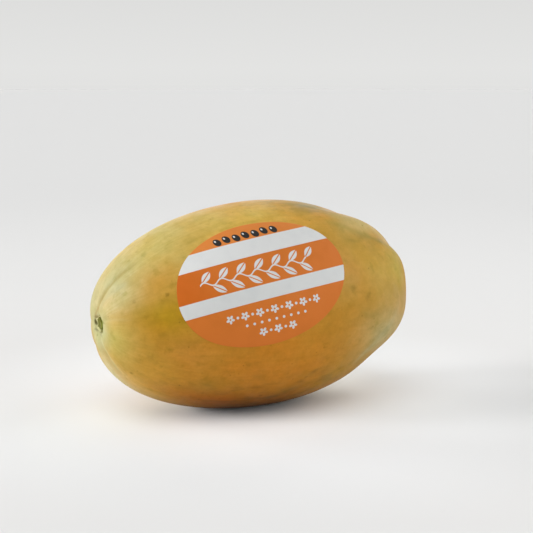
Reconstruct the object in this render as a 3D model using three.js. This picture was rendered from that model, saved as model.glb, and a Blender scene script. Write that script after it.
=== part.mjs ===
// A whole ripe papaya lying on its side, with an oval paper sticker on its cheek.
// Lengths are millimetres and angles are degrees. +Z is up, the long axis runs along +X from
// the stem end to the blossom end, and the fruit rests on a small flat spot at z = 0.
//
// A point of the skin is named by two angles. LATITUDE runs along the fruit, from 0 at the stem
// to 180 at the blossom tip, and is 90 at the girth. TURN runs round the long axis: 0 is the
// top, 90 is the side that faces -Y and 180 is the underside.
import * as THREE from 'three';

// The smooth body: a half ellipse towards the stem, a slightly blunter one towards the blossom.
const STEM_REACH = 110;
const BLOSSOM_REACH = 102;
const GIRTH_RADIUS = 64.1;
const STEM_BLUNTNESS = 0.94;
const BLOSSOM_BLUNTNESS = 0.916;

// How the middle line of the body bends away from the long axis.
const STEM_DROOP = -1.1;
const STEM_TIP_LIFT = 3.2;
const STEM_TIP_SIDEWAYS = -1.1;
const BLOSSOM_SIDEWAYS = -2.0;

// The pose on the table: the blossom end lies a little higher, and the weight rests on a spot
// that is pressed flat by this depth.
const BLOSSOM_RAISED = 2.75;
const FLAT_DEPTH = 1.0;

// Broad uneven swelling of the two halves: size of the swell, and the turn of its crest.
const STEM_OVAL = { order: 2, swell: 1.7, crest: 21 };
const STEM_TRIANGLE = { order: 3, swell: 1.3, crest: -37 };
const BLOSSOM_OVAL = { order: 2, swell: 1.6, crest: 72 };
const BLOSSOM_LEAN = { order: 1, swell: 1.05, crest: 95 };

// Five blunt ribs round the blossom end, which twist a little as they run to the tip.
const RIBS = { count: 5, height: 1.85, latitude: 136, spread: 22, crest: 35.3, twist: 0.6 };

// Grooves of the blossom end: turn of the groove at a latitude, how fast it drifts, its depth
// and half its width as a turn. The one of negative depth is the ridge between the first two.
const BLOSSOM_GROOVES = [
  { turn: 14, latitude: 116, drift: 0, depth: 1.3, halfWidth: 8 },
  { turn: 41, latitude: 116, drift: -0.12, depth: 1.75, halfWidth: 9.5 },
  { turn: 29, latitude: 116, drift: -0.1, depth: -0.95, halfWidth: 8 },
  { turn: 101, latitude: 112, drift: 0.6, depth: 0.3, halfWidth: 12 },
  { turn: 176, latitude: 130, drift: 0.4, depth: 1.2, halfWidth: 13 },
  { turn: 246, latitude: 130, drift: 0.4, depth: 1.0, halfWidth: 13 },
  { turn: 318, latitude: 130, drift: 0.4, depth: 1.2, halfWidth: 13 },
];
const GROOVE_START = [100, 120];
const GROOVE_END = [172, 145];

// Narrow valleys that part the rounded lobes round the stem: turn at the scar, turn where the
// valley dies out, latitude where it dies out, depth, and half its width as a turn.
const STEM_VALLEYS = [
  { turn: 345, endTurn: 350, reach: 44, depth: 1.5, halfWidth: 12 },
  { turn: 3, endTurn: 34, reach: 74, depth: 1.9, halfWidth: 9.5 },
  { turn: 64, endTurn: 76, reach: 30, depth: 1.1, halfWidth: 11 },
  { turn: 164, endTurn: 166, reach: 54, depth: 1.6, halfWidth: 12 },
  { turn: 219, endTurn: 220, reach: 46, depth: 1.4, halfWidth: 12 },
  { turn: 270, endTurn: 272, reach: 48, depth: 0.7, halfWidth: 12 },
];
const VALLEY_FLOOR = 2.5;
const VALLEY_FULL_AT = 0.2;
const VALLEY_START = [1, 17];

// The sunken scar that the stem left, and the stub of stem that is still in it. The stub is a
// rounded pentagon, and its rings go from the rim of the scar to the middle: radius, and height
// along the stem above the floor of the scar.
const SCAR_DEPTH = 3.4;
const SCAR_RADIUS = 8.0;
const SCAR_RIM_LATITUDE = 5.0;
const STUB_SIDES = 5;
const STUB_CREST = 20;
const STUB_CORNER = 0.09;
const STUB_RINGS = [
  { radius: 5.2, height: -0.7 },
  { radius: 4.7, height: -0.7 },
  { radius: 4.3, height: 0.7 },
  { radius: 3.5, height: 1.0 },
  { radius: 1.6, height: 0.5 },
];
const STUB_MIDDLE = 0.4;

// The oval sticker. It is laid on the skin as a sheet: ALONG runs to the blossom end, ACROSS
// runs down the side. As it wraps the barrel the sheet is turned, slightly bent, and spread a
// little towards the blossom end. A fullness of 2 would make the oval an ellipse.
const STICKER_LATITUDE = 76.65;
const STICKER_TURN = 64.7;
const STICKER_HALF_LENGTH = 55.5;
const STICKER_HALF_WIDTH = 38.7;
const STICKER_FULLNESS = 1.91;
const STICKER_TILT = -7.1;
const STICKER_BEND = 0.00045;
const STICKER_SPREAD = 0.00073;
const STICKER_MERIDIAN = 105;
const STICKER_GAP = 0.3;
const STICKER_THICKNESS = 0.6;

// How finely the surfaces are divided.
const SKIN_ROWS = 54;
const SKIN_COLUMNS = 80;
const STICKER_RINGS = 6;
const STICKER_SPOKES = 54;

const radians = THREE.MathUtils.degToRad;
const degrees = THREE.MathUtils.radToDeg;

// 0 before start, 1 after end, smooth between; start may be the larger one.
function ramp(start, end, value) {
  const part = THREE.MathUtils.clamp((value - start) / (end - start), 0, 1);
  return part * part * (3 - 2 * part);
}

// The signed turn from one angle to another, within half a circle.
function turnBetween(from, to) {
  return THREE.MathUtils.euclideanModulo(to - from + 180, 360) - 180;
}

function swell({ order, swell: height, crest }, turn) {
  return height * Math.cos(order * radians(turn - crest));
}

function ribs(latitude, turn) {
  const spread = Math.exp(-(((latitude - RIBS.latitude) / RIBS.spread) ** 2));
  const crest = RIBS.crest + RIBS.twist * (latitude - 130);
  const wave = Math.cos(RIBS.count * radians(turn - crest));
  return RIBS.height * spread * Math.sqrt(Math.sin(radians(latitude))) * wave;
}

function blossomGrooves(latitude, turn) {
  const strength = ramp(...GROOVE_START, latitude) * ramp(...GROOVE_END, latitude);
  return BLOSSOM_GROOVES.reduce((sum, groove) => {
    const middle = groove.turn + groove.drift * (latitude - groove.latitude);
    const off = turnBetween(middle, turn) / groove.halfWidth;
    return sum + groove.depth * strength * Math.exp(-off * off);
  }, 0);
}

function stemValleys(latitude, turn) {
  return STEM_VALLEYS.reduce((sum, valley) => {
    const part = Math.min(latitude / valley.reach, 1);
    const middle = valley.turn + (valley.endTurn - valley.turn) * part;
    const off = Math.hypot(turnBetween(middle, turn), VALLEY_FLOOR) - VALLEY_FLOOR;
    const fade = ramp(valley.reach, valley.reach * VALLEY_FULL_AT, latitude);
    const strength = fade * ramp(...VALLEY_START, latitude);
    return sum + valley.depth * strength * Math.exp(-off / valley.halfWidth);
  }, 0);
}

function stemScar(latitude) {
  const radius = GIRTH_RADIUS * Math.sin(radians(latitude));
  return latitude < 90 ? SCAR_DEPTH * Math.exp(-((radius / SCAR_RADIUS) ** 2)) : 0;
}

// Height of the skin above the smooth body.
function relief(latitude, turn) {
  const sine = Math.sin(radians(latitude));
  const stemHalf = ramp(90, 30, latitude) * sine;
  const blossomHalf = ramp(90, 150, latitude) * sine;
  return stemHalf * (swell(STEM_OVAL, turn) + swell(STEM_TRIANGLE, turn))
    + blossomHalf * (swell(BLOSSOM_OVAL, turn) + swell(BLOSSOM_LEAN, turn))
    + ribs(latitude, turn)
    - blossomGrooves(latitude, turn)
    - stemValleys(latitude, turn)
    - stemScar(latitude);
}

// The middle line of the body at a latitude: [sideways, up].
function middleLine(latitude) {
  const reach = Math.abs(Math.cos(radians(latitude)));
  if (latitude < 90) {
    const bend = reach ** 8;
    return [STEM_TIP_SIDEWAYS * bend, STEM_DROOP * reach ** 2 + STEM_TIP_LIFT * bend];
  }
  return [BLOSSOM_SIDEWAYS * reach ** 2, 0];
}

// A point of the fruit about its own axis, raised from the skin by lift.
function bodyPoint(latitude, turn, lift = 0) {
  const sine = Math.sin(radians(latitude));
  const cosine = Math.cos(radians(latitude));
  const length = latitude < 90 ? STEM_REACH : BLOSSOM_REACH;
  const bluntness = latitude < 90 ? STEM_BLUNTNESS : BLOSSOM_BLUNTNESS;
  const alongSlope = length * sine;
  const outSlope = GIRTH_RADIUS * bluntness * sine ** (bluntness - 1) * cosine;
  const slope = Math.hypot(alongSlope, outSlope);
  const height = relief(latitude, turn) + lift;
  const x = -length * cosine - height * outSlope / slope;
  const radius = GIRTH_RADIUS * sine ** bluntness + height * alongSlope / slope;
  const [sideways, up] = middleLine(latitude);
  const y = sideways - radius * Math.sin(radians(turn));
  const z = up + radius * Math.cos(radians(turn));
  return new THREE.Vector3(x, y, z);
}

// A point of the stem stub, which stands on the floor of the scar.
function stubPoint(radius, height, turn) {
  const corner = 1 + STUB_CORNER * Math.cos(STUB_SIDES * radians(turn - STUB_CREST));
  const [sideways, up] = middleLine(0);
  const x = SCAR_DEPTH - STEM_REACH - height;
  const y = sideways - radius * corner * Math.sin(radians(turn));
  const z = up + radius * corner * Math.cos(radians(turn));
  return new THREE.Vector3(x, y, z);
}

// Turns a point about the Y axis, so that the blossom end is raised.
const pose = new THREE.Matrix4().makeRotationY(radians(-BLOSSOM_RAISED));

const range = (count) => Array.from({ length: count }, (_, index) => index);

function lowestSkin() {
  const heights = range(SKIN_ROWS * 4).flatMap((row) => range(SKIN_COLUMNS * 4).map((column) => {
    const latitude = 180 * (row + 0.5) / (SKIN_ROWS * 4);
    const turn = 360 * column / (SKIN_COLUMNS * 4);
    return bodyPoint(latitude, turn).applyMatrix4(pose).z;
  }));
  return heights.reduce((low, height) => Math.min(low, height), 0);
}

const TABLE = lowestSkin() + FLAT_DEPTH;

// Puts a point of the fruit on the table, and presses the underside flat.
function onTable(point) {
  point.applyMatrix4(pose);
  point.z = Math.max(point.z - TABLE, 0);
  return point;
}

// A closed mesh from rings of points: two neighbouring rings are joined by a band, and each end
// is closed by a fan to a single point.
function closedSurface(rings, firstPole, lastPole) {
  const count = rings[0].length;
  const points = [firstPole, ...rings.flat(), lastPole];
  const triangles = [];
  const at = (ring, column) => 1 + ring * count + (column % count);
  range(count).forEach((column) => {
    triangles.push(0, at(0, column), at(0, column + 1));
    triangles.push(points.length - 1, at(rings.length - 1, column + 1), at(rings.length - 1, column));
    range(rings.length - 1).forEach((ring) => {
      triangles.push(at(ring, column), at(ring + 1, column), at(ring + 1, column + 1));
      triangles.push(at(ring, column), at(ring + 1, column + 1), at(ring, column + 1));
    });
  });
  const geometry = new THREE.BufferGeometry().setFromPoints(points);
  geometry.setIndex(triangles);
  geometry.computeVertexNormals();
  return geometry;
}

function fruit() {
  const turns = range(SKIN_COLUMNS).map((column) => -360 * column / SKIN_COLUMNS);
  const stub = STUB_RINGS.toReversed().map(({ radius, height }) => (
    turns.map((turn) => onTable(stubPoint(radius, height, turn)))
  ));
  const skin = range(SKIN_ROWS).map((row) => {
    const latitude = SCAR_RIM_LATITUDE + (180 - SCAR_RIM_LATITUDE) * row / SKIN_ROWS;
    return turns.map((turn) => onTable(bodyPoint(latitude, turn)));
  });
  const stem = onTable(stubPoint(0, STUB_MIDDLE, 0));
  const blossom = onTable(bodyPoint(180, 0));
  const material = new THREE.MeshStandardMaterial({
    color: 0xb8883a,
    roughness: 0.45,
    metalness: 0,
  });
  const mesh = new THREE.Mesh(closedSurface([...stub, ...skin], stem, blossom), material);
  mesh.name = 'fruit';
  return mesh;
}

// A point of the sticker: along and across the sheet from its middle, raised above the skin.
function stickerPoint(along, across, lift) {
  const tilt = radians(STICKER_TILT);
  const wide = across * (1 + STICKER_SPREAD * along);
  const down = along * Math.cos(tilt) - wide * Math.sin(tilt);
  const round = along * Math.sin(tilt) + wide * Math.cos(tilt) - STICKER_BEND * down ** 2;
  const latitude = STICKER_LATITUDE + degrees(down / STICKER_MERIDIAN);
  const turn = STICKER_TURN + degrees(round / (GIRTH_RADIUS * Math.sin(radians(latitude))));
  return onTable(bodyPoint(latitude, turn, lift));
}

function sticker() {
  const rounded = (part) => Math.sign(part) * Math.abs(part) ** (2 / STICKER_FULLNESS);
  const side = (lift, sizes) => sizes.map((size) => range(STICKER_SPOKES).map((spoke) => {
    const angle = -2 * Math.PI * spoke / STICKER_SPOKES;
    const along = size * STICKER_HALF_LENGTH * rounded(Math.cos(angle));
    const across = size * STICKER_HALF_WIDTH * rounded(Math.sin(angle));
    return stickerPoint(along, across, lift);
  }));
  const sizes = range(STICKER_RINGS).map((ring) => (ring + 1) / STICKER_RINGS);
  const outer = STICKER_GAP + STICKER_THICKNESS;
  const rings = [...side(outer, sizes), ...side(STICKER_GAP, sizes.toReversed())];
  const front = stickerPoint(0, 0, outer);
  const back = stickerPoint(0, 0, STICKER_GAP);
  const material = new THREE.MeshStandardMaterial({
    color: 0xc8702e,
    roughness: 0.5,
    metalness: 0,
  });
  const mesh = new THREE.Mesh(closedSurface(rings, front, back), material);
  mesh.name = 'sticker';
  return mesh;
}

// The whole part stands with the middle of its outline over the origin.
const papaya = new THREE.Group();
papaya.add(fruit(), sticker());
const outline = new THREE.Box3().setFromObject(papaya);
const middle = outline.getCenter(new THREE.Vector3());
papaya.position.set(-middle.x, -middle.y, 0);

export default papaya;
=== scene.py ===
"""A whole ripe papaya with an oval paper sticker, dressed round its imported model.

The skin and the sticker are made from the same dimensions as the solids, in millimetres and
degrees, only finer. A point of the skin is named by its LATITUDE, from 0 at the stem to 180 at
the blossom tip, and its TURN round the long axis, with 0 on top and 90 on the side facing -Y.
"""
import math

import bpy
import numpy as np
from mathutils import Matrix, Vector


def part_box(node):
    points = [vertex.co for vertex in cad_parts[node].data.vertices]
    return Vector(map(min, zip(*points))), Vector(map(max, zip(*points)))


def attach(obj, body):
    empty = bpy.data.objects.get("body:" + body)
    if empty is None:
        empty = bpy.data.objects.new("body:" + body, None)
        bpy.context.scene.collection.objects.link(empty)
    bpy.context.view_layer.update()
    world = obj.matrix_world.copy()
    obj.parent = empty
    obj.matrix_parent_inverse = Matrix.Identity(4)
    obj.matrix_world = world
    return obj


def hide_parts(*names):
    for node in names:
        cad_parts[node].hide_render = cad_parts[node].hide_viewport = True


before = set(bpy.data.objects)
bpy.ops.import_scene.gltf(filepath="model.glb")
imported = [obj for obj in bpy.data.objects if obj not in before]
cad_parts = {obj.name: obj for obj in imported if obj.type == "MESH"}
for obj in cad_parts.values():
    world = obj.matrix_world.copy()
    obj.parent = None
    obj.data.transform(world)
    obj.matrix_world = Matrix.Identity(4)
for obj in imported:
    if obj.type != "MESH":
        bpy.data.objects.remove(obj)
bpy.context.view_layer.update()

MM = 0.001

# The smooth body, and how its middle line bends: evenly towards each end by the first power, and
# only near the tip of the stem by the second.
STEM_REACH = 110
BLOSSOM_REACH = 102
GIRTH_RADIUS = 64.1
STEM_BLUNTNESS = 0.94
BLOSSOM_BLUNTNESS = 0.916
STEM_DROOP = -1.1
STEM_TIP_LIFT = 3.2
STEM_TIP_SIDEWAYS = -1.1
BLOSSOM_SIDEWAYS = -2.0
BEND_POWER = 2
TIP_POWER = 8
TINY = 1e-9

# The pose on the table.
BLOSSOM_RAISED = 2.75
FLAT_DEPTH = 1.0

# Broad swelling of the two halves: order, height and the turn of the crest. Each grows from the
# girth to the second latitude.
STEM_OVAL = (2, 1.7, 21)
STEM_TRIANGLE = (3, 1.3, -37)
BLOSSOM_OVAL = (2, 1.6, 72)
BLOSSOM_LEAN = (1, 1.05, 95)
STEM_SWELLS = (90, 30)
BLOSSOM_SWELLS = (90, 150)

# Blunt ribs round the blossom end. Their crests twist as they run, and have their own turn at one
# latitude.
RIB_COUNT = 5
RIB_HEIGHT = 1.85
RIB_LATITUDE = 136
RIB_SPREAD = 22
RIB_CREST = 35.3
RIB_TWIST = 0.6
RIB_CREST_LATITUDE = 130

# Grooves of the blossom end: turn at a latitude, drift, depth and half width. The one of negative
# depth is the ridge between the first two. All begin and end between the same latitudes.
BLOSSOM_GROOVES = (
    (14, 116, 0.0, 1.3, 8),
    (41, 116, -0.12, 1.75, 9.5),
    (29, 116, -0.1, -0.95, 8),
    (101, 112, 0.6, 0.3, 12),
    (176, 130, 0.4, 1.2, 13),
    (246, 130, 0.4, 1.0, 13),
    (318, 130, 0.4, 1.2, 13),
)
GROOVE_START = (100, 120)
GROOVE_END = (172, 145)

# Valleys between the lobes of the stem end: turn at the scar, turn and latitude where it dies out,
# depth and half width.
STEM_VALLEYS = (
    (345, 350, 44, 1.5, 12),
    (3, 34, 74, 1.9, 9.5),
    (64, 76, 30, 1.1, 11),
    (164, 166, 54, 1.6, 12),
    (219, 220, 46, 1.4, 12),
    (270, 272, 48, 0.7, 12),
)
VALLEY_FLOOR = 2.5
VALLEY_FULL_AT = 0.2
VALLEY_START = (1, 17)

# The sunken scar and the stub of stem in it. The rings of the stub go from its foot to its middle:
# radius and height above the floor of the scar.
SCAR_DEPTH = 3.4
SCAR_RADIUS = 8.0
SCAR_RIM_LATITUDE = 5.0
STUB_SIDES = 5
STUB_CREST = 20
STUB_CORNER = 0.09
STUB_RINGS = ((5.2, -0.7), (4.7, -0.7), (4.3, 0.7), (3.5, 1.0), (1.6, 0.5))
STUB_MIDDLE = 0.4

# The oval sticker, laid on the skin as a sheet: its place, size and form, how it is turned, bent
# and spread as it wraps the barrel, and how far its two faces stand off the skin. A fullness of 2
# would make it an ellipse.
STICKER_LATITUDE = 76.65
STICKER_TURN = 64.7
STICKER_HALF_LENGTH = 55.5
STICKER_HALF_WIDTH = 38.7
STICKER_FULLNESS = 1.91
STICKER_TILT = -7.1
STICKER_BEND = 0.00045
STICKER_SPREAD = 0.00073
STICKER_MERIDIAN = 105
STICKER_FRONT = 0.16
STICKER_BACK = 0.03

# How finely the surfaces are divided. The last ring of the sticker but one lies at this share of
# the way out to its rim.
SKIN_ROWS = 220
SKIN_COLUMNS = 360
STUB_STEPS = 28
STICKER_RINGS = 36
STICKER_SPOKES = 216
STICKER_EDGE = 0.997

# The camera, aimed at a point near the middle of the fruit, in degrees and metres.
CAMERA_AZIMUTH = -30.0
CAMERA_ELEVATION = 9.0
CAMERA_FIELD = 24.0
CAMERA_DISTANCE = 0.7889
CAMERA_AIM = (0.0100, 0.0004, 0.0855)
CAMERA_CLIP = 0.01


def ramp(start, end, value):
    """0 before start, 1 after end, smooth between; start may be the larger one."""
    part = np.clip((value - start) / (end - start), 0, 1)
    return part * part * (3 - 2 * part)


def turn_between(start, end):
    """The signed turn from one angle to another, within half a circle."""
    return (end - start + 180) % 360 - 180


def swell(shape, turn):
    order, height, crest = shape
    return height * np.cos(order * np.radians(turn - crest))


def ribs(latitude, turn):
    spread = np.exp(-(((latitude - RIB_LATITUDE) / RIB_SPREAD) ** 2))
    crest = RIB_CREST + RIB_TWIST * (latitude - RIB_CREST_LATITUDE)
    wave = np.cos(RIB_COUNT * np.radians(turn - crest))
    return RIB_HEIGHT * spread * np.sqrt(np.abs(np.sin(np.radians(latitude)))) * wave


def blossom_grooves(latitude, turn):
    strength = ramp(*GROOVE_START, latitude) * ramp(*GROOVE_END, latitude)
    total = np.zeros_like(latitude + turn)
    for groove_turn, groove_latitude, drift, depth, half_width in BLOSSOM_GROOVES:
        middle = groove_turn + drift * (latitude - groove_latitude)
        off = turn_between(middle, turn) / half_width
        total += depth * strength * np.exp(-off * off)
    return total


def stem_valleys(latitude, turn):
    total = np.zeros_like(latitude + turn)
    for start_turn, end_turn, reach, depth, half_width in STEM_VALLEYS:
        part = np.minimum(latitude / reach, 1)
        middle = start_turn + (end_turn - start_turn) * part
        off = np.hypot(turn_between(middle, turn), VALLEY_FLOOR) - VALLEY_FLOOR
        fade = ramp(reach, reach * VALLEY_FULL_AT, latitude)
        strength = fade * ramp(*VALLEY_START, latitude)
        total += depth * strength * np.exp(-off / half_width)
    return total


def stem_scar(latitude):
    radius = GIRTH_RADIUS * np.sin(np.radians(latitude))
    return np.where(latitude < 90, SCAR_DEPTH * np.exp(-((radius / SCAR_RADIUS) ** 2)), 0)


def relief(latitude, turn):
    """Height of the skin above the smooth body."""
    sine = np.sin(np.radians(latitude))
    stem_half = ramp(*STEM_SWELLS, latitude) * sine
    blossom_half = ramp(*BLOSSOM_SWELLS, latitude) * sine
    return (
        stem_half * (swell(STEM_OVAL, turn) + swell(STEM_TRIANGLE, turn))
        + blossom_half * (swell(BLOSSOM_OVAL, turn) + swell(BLOSSOM_LEAN, turn))
        + ribs(latitude, turn)
        - blossom_grooves(latitude, turn)
        - stem_valleys(latitude, turn)
        - stem_scar(latitude)
    )


def body_points(latitude, turn, lift=0.0):
    """Points of the fruit about its own axis, in millimetres."""
    latitude, turn = np.broadcast_arrays(np.asarray(latitude, float), np.asarray(turn, float))
    sine = np.abs(np.sin(np.radians(latitude)))
    cosine = np.cos(np.radians(latitude))
    stem_side = latitude < 90
    length = np.where(stem_side, STEM_REACH, BLOSSOM_REACH)
    bluntness = np.where(stem_side, STEM_BLUNTNESS, BLOSSOM_BLUNTNESS)
    along_slope = length * sine
    out_slope = GIRTH_RADIUS * bluntness * np.maximum(sine, TINY) ** (bluntness - 1) * cosine
    slope = np.hypot(along_slope, out_slope)
    height = relief(latitude, turn) + lift
    radius = GIRTH_RADIUS * sine ** bluntness + height * along_slope / slope
    bend = np.abs(cosine) ** BEND_POWER
    tip = np.abs(cosine) ** TIP_POWER
    up = np.where(stem_side, STEM_DROOP * bend + STEM_TIP_LIFT * tip, 0)
    sideways = np.where(stem_side, STEM_TIP_SIDEWAYS * tip, BLOSSOM_SIDEWAYS * bend)
    x = -length * cosine - height * out_slope / slope
    y = sideways - radius * np.sin(np.radians(turn))
    z = up + radius * np.cos(np.radians(turn))
    return np.stack([x, y, z], axis=-1)


def stub_points(radius, height, turn):
    """Points of the stem stub, which stands on the floor of the scar."""
    radius = radius * (1 + STUB_CORNER * np.cos(STUB_SIDES * np.radians(turn - STUB_CREST)))
    x = np.full_like(turn, SCAR_DEPTH - STEM_REACH - height)
    y = STEM_TIP_SIDEWAYS - radius * np.sin(np.radians(turn))
    z = STEM_DROOP + STEM_TIP_LIFT + radius * np.cos(np.radians(turn))
    return np.stack([x, y, z], axis=-1)


def tilted(points):
    """Raises the blossom end."""
    angle = math.radians(BLOSSOM_RAISED)
    x = points[..., 0] * math.cos(angle) - points[..., 2] * math.sin(angle)
    z = points[..., 0] * math.sin(angle) + points[..., 2] * math.cos(angle)
    return np.stack([x, points[..., 1], z], axis=-1)


def table_height():
    latitude = 180 * (np.arange(SKIN_ROWS) + 0.5)[:, None] / SKIN_ROWS
    turn = 360 * np.arange(SKIN_COLUMNS)[None, :] / SKIN_COLUMNS
    return tilted(body_points(latitude, turn))[..., 2].min() + FLAT_DEPTH


TABLE = table_height()


def on_table(points):
    """Puts points of the fruit on the table, and presses the underside flat."""
    points = tilted(points)
    points[..., 2] = np.maximum(points[..., 2] - TABLE, 0)
    return points


def closed_mesh(name, rings, first_pole, last_pole):
    """A closed mesh from rings of points, with a fan to one point at each end."""
    ring_count, count = rings.shape[:2]
    vertices = np.concatenate([first_pole[None], rings.reshape(-1, 3), last_pole[None]])
    last = len(vertices) - 1
    faces = []
    for column in range(count):
        after = (column + 1) % count
        base = 1 + (ring_count - 1) * count
        faces.append((0, 1 + column, 1 + after))
        faces.append((last, base + after, base + column))
        for ring in range(ring_count - 1):
            low = 1 + ring * count
            high = low + count
            faces.append((low + column, high + column, high + after, low + after))
    mesh = bpy.data.meshes.new(name)
    mesh.from_pydata(vertices.tolist(), [], faces)
    mesh.validate()
    for polygon in mesh.polygons:
        polygon.use_smooth = True
    piece = bpy.data.objects.new(name, mesh)
    bpy.context.scene.collection.objects.link(piece)
    return piece


def point_attribute(mesh, name, values):
    """Stores one number or one vector a vertex, for the materials to read."""
    vector = values.ndim == 2
    layer = mesh.attributes.new(name, "FLOAT_VECTOR" if vector else "FLOAT", "POINT")
    layer.data.foreach_set("vector" if vector else "value", values.astype(np.float32).ravel())


# The tones of the skin: its ripening, with painted light and shade in some patches. The ground tone
# lies everywhere, and each patch of tone is laid over the ones before it: colour, latitude, turn,
# spread of each in degrees, and strength. A patch at the tip lies all round it.
ALL_ROUND = 999
GROUND_TONE = (0.411, 0.204, 0.018)
TONE_PATCHES = (
    # Orange, where it is ripest: the belly and the far side. The bright shoulder on top is partly
    # riper skin and partly painted light from above.
    ((0.478, 0.196, 0.016), 78, 112, 28, 28, 0.95),
    ((0.600, 0.378, 0.070), 78, 27, 30, 24, 0.95),
    ((0.461, 0.204, 0.016), 82, 250, 34, 40, 0.90),
    ((0.481, 0.254, 0.021), 92, 322, 28, 28, 0.80),
    # Yellow, where the orange starts and towards the blossom end.
    ((0.484, 0.286, 0.038), 38, 148, 16, 36, 0.90),
    ((0.428, 0.352, 0.096), 17, 104, 12, 52, 0.90),
    ((0.345, 0.205, 0.010), 30, 69, 8, 9, 0.75),
    ((0.385, 0.204, 0.003), 41, 75, 12, 14, 0.90),
    ((0.462, 0.268, 0.036), 125, 62, 26, 22, 0.95),
    ((0.428, 0.325, 0.052), 141, 66, 12, 25, 0.85),
    ((0.370, 0.240, 0.036), 133, 85, 9, 9, 0.60),
    ((0.391, 0.234, 0.016), 128, 215, 24, 40, 0.70),
    # Pale yellow-green, spreading from the stem along the top and underneath.
    ((0.450, 0.382, 0.124), 46, 12, 22, 30, 0.95),
    ((0.392, 0.362, 0.178), 23, 14, 13, 40, 0.90),
    ((0.418, 0.372, 0.140), 38, 318, 22, 34, 0.85),
    ((0.368, 0.336, 0.166), 15, 322, 15, 38, 0.90),
    ((0.440, 0.374, 0.180), 30, 4, 9, 9, 0.60),
    ((0.500, 0.375, 0.150), 27, 46, 7, 9, 0.60),
    ((0.420, 0.364, 0.156), 14, 48, 13, 19, 0.85),
    # The palest patch, underneath near the stem, is partly a painted reflection of the bright floor
    # along the lower rim.
    ((0.495, 0.428, 0.225), 25, 182, 20, 20, 0.95),
    ((0.430, 0.334, 0.098), 30, 232, 16, 28, 0.70),
    ((0.560, 0.335, 0.066), 37, 156, 12, 13, 0.65),
    # Redder, beside and below the sticker.
    ((0.515, 0.220, 0.030), 50, 104, 10, 12, 0.70),
    ((0.500, 0.270, 0.044), 45, 52, 8, 8, 0.60),
    ((0.510, 0.178, 0.014), 76, 120, 12, 10, 0.60),
    ((0.620, 0.318, 0.042), 99, 32, 8, 8, 0.55),
    ((0.600, 0.325, 0.085), 117, 105, 8, 9, 0.60),
    ((0.480, 0.250, 0.058), 108, 68, 8, 13, 0.60),
    # Pale skin on the ribs of the blossom end; on the near side partly a painted reflection along
    # the lower rim, and a painted highlight on the rib on top.
    ((0.448, 0.345, 0.142), 132, 111, 17, 20, 0.95),
    ((0.535, 0.400, 0.150), 123, 33, 10, 8, 0.75),
    ((0.411, 0.304, 0.096), 132, 280, 22, 18, 0.70),
    # Green that is left on top and in the grooves of the far side.
    ((0.285, 0.192, 0.020), 106, 10, 9, 9, 0.70),
    ((0.271, 0.204, 0.021), 112, 345, 16, 9, 0.60),
    ((0.291, 0.224, 0.026), 128, 196, 16, 9, 0.55),
    # Darker underneath, deepening to near black where the fruit lies on the floor: painted shade of
    # the contact, over a riper orange-brown.
    ((0.345, 0.094, 0.000), 70, 146, 28, 14, 0.78),
    ((0.060, 0.012, 0.000), 80, 168, 27, 27, 0.97),
    ((0.460, 0.200, 0.040), 103, 150, 8, 8, 0.50),
    # The small scar of the blossom.
    ((0.460, 0.360, 0.150), 180, 0, 5.0, ALL_ROUND, 0.50),
    ((0.150, 0.105, 0.045), 180, 0, 1.8, ALL_ROUND, 0.85),
)
# Small dark marks: their tint, then latitude, turn, spread of each in degrees, and strength.
MARK_TINT = (0.50, 0.56, 0.42)
MARKS = (
    (116.5, 47.5, 1.6, 1.8, 0.35),
    (109, 77, 1.8, 1.8, 0.30),
    (115, 83.5, 1.5, 1.6, 0.45),
    (117, 95.5, 2.0, 1.8, 0.35),
    (117, 103, 2.5, 1.4, 0.35),
    (97, 94.5, 1.5, 1.5, 0.25),
    (97, 114.5, 1.5, 1.5, 0.30),
    (94, 123, 1.3, 1.3, 0.55),
    (99.5, 133, 2.4, 1.6, 0.55),
    (89.5, 129.5, 1.8, 1.5, 0.60),
    (74, 130, 3.5, 1.1, 0.35),
    (71.5, 111, 1.8, 1.5, 0.25),
    (69.5, 104.5, 1.5, 1.3, 0.20),
    (29, 123, 2.4, 2.2, 0.25),
    (34, 112, 1.6, 1.6, 0.25),
    (26.5, 158, 1.8, 2.0, 0.30),
    (32.5, 138, 1.6, 1.8, 0.30),
    (36.5, 78, 2.4, 2.2, 0.28),
    (33, 73.5, 1.8, 2.2, 0.25),
    (39.5, 90, 1.6, 1.8, 0.25),
    (42.5, 16, 1.8, 1.8, 0.25),
    (59.5, 28.5, 2.0, 1.6, 0.25),
)
# The pale collar round the stem: its tone, and the latitudes where it is gone and where it is full.
STEM_TONE = (0.374, 0.345, 0.160)
STEM_TONE_FADE = (17, 5)
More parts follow.
